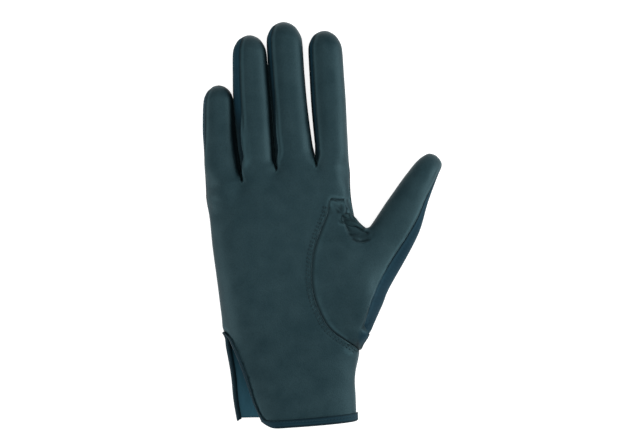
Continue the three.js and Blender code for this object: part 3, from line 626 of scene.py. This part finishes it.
def outline_shifts():
    """For steps of y: the outline's x by the thumb's lower corner, and how far it is off."""
    tree = tree_of(["thumb_front", "thumb_side", "back", "palm"])
    heights, places = np.array(THUMB_OUTLINE).T
    rows = []
    for y in np.arange(heights[0], heights[-1], OUTLINE_STEP):
        outer = max(x for x in np.arange(*OUTLINE_SEARCH, OUTLINE_FINE) if not is_open(tree, x, y))
        share = ramp(y - heights[0], 0, OUTLINE_FADE[0]) * ramp(heights[-1] - y, 0, OUTLINE_FADE[1])
        rows.append((y, outer, (np.interp(y, heights, places) - outer) * share))
    rows = np.array(rows)
    rows[:, 2] = smoothed(rows[:, 2], OUTLINE_SMOOTHING)
    return rows.T


def follow_outline(points, rows):
    """Moves what lies near the outline by the thumb's lower corner out or in to it."""
    x, y, _ = points.T
    outer = np.interp(y, rows[0], rows[1])
    shift = np.interp(y, rows[0], rows[2], left=0, right=0)
    points[:, 0] = x + shift * ramp(x - outer, -OUTLINE_REACH, 0)


def pull(points, pulls, hold):
    """Moves points sideways near some places, less where they are held."""
    for middle, shift, reach in pulls:
        share = hold * hump(np.linalg.norm(points[:, :2] - middle, axis=1), reach)
        points[:, :2] += share[:, None] * np.array(shift)


# Relief
def even_out(mesh, points, weight, axis):
    """Evens out one coordinate of a piece's points by their neighbours."""
    edges = np.empty(2 * len(mesh.edges), dtype=np.int64)
    mesh.edges.foreach_get("vertices", edges)
    a, b = edges.reshape(-1, 2).T
    count = len(points)
    links = np.maximum(np.bincount(a, minlength=count) + np.bincount(b, minlength=count), 1)
    place = points[:, axis].copy()
    for _ in range(EVEN_ROUNDS):
        near = np.bincount(a, weights=place[b], minlength=count)
        near += np.bincount(b, weights=place[a], minlength=count)
        place += weight * EVEN_STEP * (near / links - place)
    points[:, axis] = place


def even_palm(mesh, points, edge):
    """Evens out the palm, most of all at the knuckles and at the wrist."""
    y = points[:, 1]
    knuckles = ramp(y, *KNUCKLES_BEGIN)
    wrist = 1 - ramp(y, *WRIST)
    zone = PALM_EVEN + (WRIST_EVEN - PALM_EVEN) * wrist + (1 - PALM_EVEN) * knuckles
    zone = zone * (1 - ramp(y, *KNUCKLES_END))
    clear = ramp(edge, *EVEN_FROM_EDGE)
    for axis, share in ((0, wrist), (1, wrist), (2, zone)):
        even_out(mesh, points, share * clear, axis)


def seam_relief(name, flat, seam, rows):
    """Welt, stitch grooves and shade of the set-in thumb's seam, as pairs of rise and shade."""
    away = distance(flat, seam)
    if name == "palm":
        yield WELT["rise"] * hump(away - WELT["at"], WELT["wide"]), 0
        for row in rows:
            aside = distance(flat, row)
            yield -STITCH_GROOVE["drop"] * hump(aside, STITCH_GROOVE["wide"]), shade(aside, GROOVE_SHADE)
    yield 0, shade(away, SEAM_SHADE)


def web_relief(name, flat, creases):
    """Creases and pleats round the web, and the shade over the gusset, as pairs of rise and shade."""
    for line, drop, wide in creases:
        away = distance(flat, line)
        sides = CREASE_SIDES["rise"] * hump(away - CREASE_SIDES["at"] * wide, wide)
        yield -drop * (hump(away, wide) - sides), hump(away, wide * CREASE_SHADE)
    if name != "palm":
        away = distance(flat, GUSSET + GUSSET[:1])
        near = 1 - ramp(away, 0, GUSSET_SHADE["wide"])
        yield 0, GUSSET_SHADE["depth"] * np.where(inside(flat, GUSSET), 1, near)


def cover_corner(mesh, points):
    """The leather's lower corner that the cloth covers, kept as a field. Gives the shade along it."""
    x, y, _ = points.T
    past = x - np.interp(y, *np.array(THUMB_EDGE).T)
    corner = (y > THUMB_EDGE[0][0]) & (y < THUMB_CORNER_TOP)
    keep_field(mesh, "cloth", corner * ramp(past, 0, THUMB_CORNER_BLEND))
    return corner * shade(past, CORNER_SHADE)


def relieve(name, seed, seam, rows, creases):
    """Gives one piece its relief, and the fields that its material reads."""
    mesh = pieces[name].data
    points = coordinates(mesh)
    edge = nearest_of(points, borders[name])
    if name == "palm":
        even_palm(mesh, points, edge)
    flat = points[:, :2]
    pairs = [(0, shade(edge, EDGE_SHADE))]
    if name in ("palm", "thumb_front"):
        pairs += seam_relief(name, flat, seam, rows)
    if name == "thumb_front":
        pairs.append((0, cover_corner(mesh, points)))
    if name in ("palm", "thumb_front", "web_gusset"):
        pairs += web_relief(name, flat, creases)
    if name in STRIP_SHADE:
        look = STRIP_SHADE[name]
        pairs.append((0, look["depth"] * (1 - ramp(points[:, 1], *look["fade"]))))
    rise = np.zeros(len(points))
    # dark gathers painted shade: beside edges, in the thumb seam and its stitch grooves, in creases, over
    # the gusset and down the strips
    dark = np.zeros(len(points))
    for part_rise, part_painted_shade in pairs:
        rise += part_rise
        dark = np.maximum(dark, part_painted_shade)
    if kinds[name] != "binding":
        rise += SLACK["rise"] * slack(points, seed) * ramp(edge, *SLACK["from_edge"])
    points[:, 2] = np.maximum(points[:, 2] + rise, LIFT)
    put(mesh, points)
    keep_field(mesh, "dark", dark)
    # wear and a painted highlight, in a band a little in from the edge
    keep_field(mesh, "edge", hump(edge - EDGE_WEAR_AND_HIGHLIGHT["at"], EDGE_WEAR_AND_HIGHLIGHT["wide"]))
    # where the back's inner side shows in the vent, for the painted light there
    if name == "back":
        faces_up = ramp(normals(mesh)[:, 2], *INSIDE_FACING)
        keep_field(mesh, "inside", faces_up * (1 - ramp(points[:, 1], *INSIDE)))


def shelter():
    """How much of the sky each vertex of the fingers' pieces misses, kept as a field for painted shade."""
    tree = tree_of(pieces)
    golden = math.pi * (3 - math.sqrt(5))
    rays = []
    for i in range(SHELTER_RAYS):
        height = math.sqrt((i + 0.5) / SHELTER_RAYS)
        radius = math.sqrt(1 - height * height)
        rays.append(Vector((radius * math.cos(golden * i), radius * math.sin(golden * i), height)))
    for piece in pieces.values():
        mesh = piece.data
        hidden = np.zeros(len(mesh.vertices))
        for i, (p, n) in enumerate(zip(coordinates(mesh), normals(mesh))):
            if p[1] < SHELTER_FROM_Y:
                continue
            turn = Vector((0, 0, 1)).rotation_difference(Vector(n))
            start = Vector(p + n * SHELTER_START)
            met = sum(tree.ray_cast(start, turn @ ray, SHELTER_REACH)[0] is not None for ray in rays)
            hidden[i] = met / SHELTER_RAYS
        keep_field(mesh, "hidden", hidden)


# Stitches
def stitch_net(place, up, run, look):
    """Points and faces of one stitch, a short thread that goes down at both ends."""
    across = up.cross(run)
    thread = look["thread"]
    verts, faces = [], []
    for ring in range(STITCH_RINGS):
        t = 2 * ring / (STITCH_RINGS - 1) - 1
        lift = STITCH_LIFT - STITCH_DIVE * t * t
        centre = place + run * (t * look["length"] / 2) + up * thread * lift
        radius = thread * (1 - STITCH_THINNING * t * t)
        for side in range(STITCH_SIDES):
            turn = 2 * math.pi * side / STITCH_SIDES
            verts.append(centre + (across * math.cos(turn) + up * math.sin(turn)) * radius)
    for low in range(0, (STITCH_RINGS - 1) * STITCH_SIDES, STITCH_SIDES):
        high = low + STITCH_SIDES
        for side in range(STITCH_SIDES):
            following = (side + 1) % STITCH_SIDES
            faces.append((low + side, low + following, high + following, high + side))
    faces.append(tuple(reversed(range(STITCH_SIDES))))
    faces.append(tuple(range(len(verts) - STITCH_SIDES, len(verts))))
    return verts, faces


def stitches(name, line, carrier, look):
    """A row of stitches that lie on a carrier along a line seen from above."""
    tree = tree_of([carrier])
    places = respaced(line, look["pitch"])
    verts, faces = [], []
    for a, b in zip(places, places[1:]):
        place, up = seen_from_above(tree, *((a + b) / 2))
        if place is None:
            continue
        run = Vector((*(b - a), 0))
        run = (run - up * run.dot(up)).normalized()
        first = len(verts)
        stitch_verts, stitch_faces = stitch_net(place, up, run, look)
        verts += stitch_verts
        faces += [tuple(first + i for i in face) for face in stitch_faces]
    mesh = bpy.data.meshes.new(name)
    mesh.from_pydata([tuple(v * MM) for v in verts], [], faces)
    mesh.shade_smooth()
    obj = linked(name, mesh)
    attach(obj, "root")
    pieces[name] = obj
    kinds[name] = "thread"


# Materials
def add(tree, kind, values=(), **settings):
    """A node with its settings, and its inputs set or linked."""
    made = tree.nodes.new(kind)
    for key, value in settings.items():
        setattr(made, key, value)
    for key, value in dict(values).items():
        if isinstance(value, bpy.types.NodeSocket):
            tree.links.new(value, made.inputs[key])
        else:
            made.inputs[key].default_value = value
    return made


def blend(tree, share, a, b, mode="MIX"):
    """Two colours mixed by a share. The inputs of a mix node go by their numbers."""
    mixed = add(tree, "ShaderNodeMix", {0: share, 6: a, 7: b}, data_type="RGBA", blend_type=mode)
    return mixed.outputs[2]


def calculate(tree, operation, a, b):
    return add(tree, "ShaderNodeMath", {0: a, 1: b}, operation=operation).outputs[0]


def mapped(tree, value, start, end, low, high, **settings):
    """A value from start to end as one from low to high."""
    values = {"Value": value, "From Min": start, "From Max": end, "To Min": low, "To Max": high}
    return add(tree, "ShaderNodeMapRange", values, **settings).outputs["Result"]


def field_of(tree, name):
    return add(tree, "ShaderNodeAttribute", attribute_name=name).outputs["Fac"]


def grain_height(tree, where, look):
    """Height of leather's grain: rounded cells with fine pores between them."""
    cells = add(
        tree, "ShaderNodeTexVoronoi", {"Vector": where, "Scale": 1 / (look["cell"] * MM)},
        feature="SMOOTH_F1",
    )
    pores = add(
        tree, "ShaderNodeTexNoise",
        {"Vector": where, "Scale": 1 / (look["fine"] * MM), "Detail": PORES["detail"]},
    )
    rounded = calculate(tree, "SUBTRACT", 1, cells.outputs["Distance"])
    return calculate(tree, "ADD", rounded, calculate(tree, "MULTIPLY", pores.outputs["Fac"], PORES["share"]))


def knit_height(tree, where, look):
    """Height of a fine knit: ribs one way and loops the other."""
    turned = add(tree, "ShaderNodeMapping", {"Vector": where, "Rotation": (0, KNIT_TURN, 0)})
    values = {
        "Vector": turned.outputs[0], "Scale": math.pi / (WAVE_RATE * look["pitch"] * MM),
        "Distortion": KNIT_WAVER, "Detail": KNIT_DETAIL,
    }
    ribs, loops = (
        add(tree, "ShaderNodeTexWave", values, bands_direction=direction).outputs["Fac"]
        for direction in ("X", "Y")
    )
    return calculate(tree, "MULTIPLY", ribs, loops)


def colour_of(tree, kind, look, mottling, height):
    """Mottled, grained colour, with wear and painted highlight at edges and painted shade in seams and
    between fingers.
    """
    spread = mapped(tree, mottling, *MOTTLE_RANGE, 0, 1)
    colour = blend(tree, spread, (*look["dark"], 1), (*look["light"], 1))
    grained = mapped(tree, height, *HEIGHT_RANGE, look["low"], HEIGHT_LIGHT)
    colour = blend(tree, 1, colour, grained, "MULTIPLY")
    # wear and a painted highlight: a lighter band a little in from every edge
    wear_and_highlight = calculate(tree, "MULTIPLY", field_of(tree, "edge"), look["wear_and_highlight"])
    colour = blend(tree, wear_and_highlight, colour, (*look["worn_and_lit"], 1))
    if kind == "leather":
        colour = blend(tree, field_of(tree, "cloth"), colour, (*SURFACES["stretch"]["light"], 1))
    # painted light on the back's inner side in the vent, lifting its shade
    if kind == "stretch":
        colour = blend(tree, field_of(tree, "inside"), colour, INSIDE_PAINTED_LIGHT_COLOUR)
    # painted shade deep between fingers, from the share of the sky that each vertex misses
    hidden = field_of(tree, "hidden")
    painted_deep_shade = mapped(
        tree, hidden, HIDDEN["from"], HIDDEN["to"], 0, HIDDEN["depth"], interpolation_type="SMOOTHSTEP",
    )
    colour = blend(tree, painted_deep_shade, colour, PAINTED_SHADE_COLOUR)
    # painted shade beside edges, in seams, stitch grooves, creases, over the gusset and down the strips
    return blend(tree, field_of(tree, "dark"), colour, PAINTED_SHADE_COLOUR)


def surface_of(kind):
    """The material of one kind of piece."""
    look = SURFACES[kind]
    surface = bpy.data.materials.new(kind)
    surface.use_nodes = True
    tree = surface.node_tree
    shader = tree.nodes["Principled BSDF"]
    where = add(tree, "ShaderNodeTexCoord").outputs["Object"]
    mottling = add(
        tree, "ShaderNodeTexNoise",
        {"Vector": where, "Scale": 1 / (look["mottle"] * MM), "Detail": MOTTLE_DETAIL},
    ).outputs["Fac"]
    height = grain_height(tree, where, look) if "cell" in look else knit_height(tree, where, look)
    rough = mapped(tree, mottling, 0, 1, *(look["rough"] + change for change in ROUGH_RANGE))
    bump = add(
        tree, "ShaderNodeBump",
        {"Height": height, "Strength": BUMP_STRENGTH, "Distance": look["bump"] * MM},
    )
    tree.links.new(colour_of(tree, kind, look, mottling, height), shader.inputs["Base Color"])
    tree.links.new(rough, shader.inputs["Roughness"])
    tree.links.new(bump.outputs["Normal"], shader.inputs["Normal"])
    shader.inputs["Specular IOR Level"].default_value = look["gloss"]
    shader.inputs["Sheen Weight"].default_value = look["sheen"]
    shader.inputs["Sheen Roughness"].default_value = SHEEN_ROUGHNESS
    shader.inputs["Sheen Tint"].default_value = SHEEN_TINT
    shader.inputs["Specular Tint"].default_value = SPECULAR_TINT
    return surface


# Studio
def place_camera():
    """The camera straight above the glove, as in the photograph."""
    view = bpy.data.cameras.new("camera")
    view.lens = LENS
    view.sensor_width = SENSOR
    camera = linked("camera", view)
    camera.location = (Vector(VIEW_MIDDLE) + Vector((0, 0, VIEW_WIDTH * LENS / SENSOR))) * MM
    bpy.context.scene.camera = camera
    bpy.context.scene.view_settings.view_transform = "Standard"


def lay_floor():
    """A pale and plain floor, which glows a little so that it comes out white."""
    half = FLOOR_SIZE / 2 * MM
    corners = [(-half, -half, 0), (half, -half, 0), (half, half, 0), (-half, half, 0)]
    mesh = bpy.data.meshes.new("floor")
    mesh.from_pydata(corners, [], [(0, 1, 2, 3)])
    paper = bpy.data.materials.new("paper")
    paper.use_nodes = True
    shader = paper.node_tree.nodes["Principled BSDF"]
    shader.inputs["Base Color"].default_value = FLOOR_GREY
    shader.inputs["Roughness"].default_value = FLOOR_ROUGHNESS
    shader.inputs["Emission Color"].default_value = WHITE
    shader.inputs["Emission Strength"].default_value = FLOOR_GLOW
    mesh.materials.append(paper)
    return linked("floor", mesh)


def soft_box(name, where, size, power):
    """A square soft light that points at the palm."""
    lamp = bpy.data.lights.new(name, "AREA")
    lamp.size = size * MM
    lamp.energy = power
    light = linked(name, lamp)
    light.location = Vector(where) * MM
    light.rotation_euler = (Vector(where) * -1).to_track_quat("-Z", "Y").to_euler()


def white_world():
    world = bpy.data.worlds.new("studio")
    world.use_nodes = True
    background = world.node_tree.nodes["Background"]
    background.inputs["Color"].default_value = WHITE
    background.inputs["Strength"].default_value = WORLD_LIGHT
    bpy.context.scene.world = world


# The panels as smooth pieces
for node, name, _, slot in PANELS:
    piece, borders[name] = smooth_panel(node, name)
    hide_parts(node)
    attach(piece, "root")
    pieces[name] = piece

# Seen from above they are brought to the photograph's lines
middles = channel_middles()
outline_rows = outline_shifts()
thumb_rows = thumb_edges()
for name, piece in pieces.items():
    points = coordinates(piece.data)
    if name in ("palm", "thumb_front", "web_gusset"):
        pull(points, WEB_PULLS, ramp(distance(points[:, :2], WEB_EDGE), 0, WEB_HOLD))
    if name in ("thumb_front", "thumb_side"):
        move_thumb_edge(points, thumb_rows)
    if name in ("palm", "back", "thumb_front", "thumb_side"):
        follow_outline(points, outline_rows)
    if name == "palm" or name in STRIPS:
        narrow_slots(points, middles)
    if name == "cuff_binding":
        pull(points, APEX_PULLS, 1)
    if name == "back" or name in STRIPS:
        close_channels(points, middles)
    put(piece.data, points)

# Relief, shelter and stitches
thumb_seam = seam_line()
stitch_rows = [beside(thumb_seam, offset) for offset in STITCH_ROWS]
creases = [(smooth_line(crease["line"], CURVE_STEP), crease["drop"], crease["wide"]) for crease in CREASES]
for seed, (_, name, _, _) in enumerate(PANELS):
    relieve(name, seed, thumb_seam, stitch_rows, creases)
shelter()
for number, row in enumerate(stitch_rows, 1):
    stitches(f"thumb_stitches_{number}", row, "palm", THUMB_STITCH)
binding_row = beside(smooth_line(BINDING_LINE, CURVE_STEP), BINDING_OUT)
stitches("binding_stitches", binding_row, "cuff_binding", BINDING_STITCH)

# Materials
surfaces = {kind: surface_of(kind) for kind in SURFACES}
for name, piece in pieces.items():
    piece.data.materials.clear()
    piece.data.materials.append(surfaces[kinds[name]])

# Camera, floor and lights
place_camera()
floor = lay_floor()
for light in LIGHTS:
    soft_box(*light)
white_world()
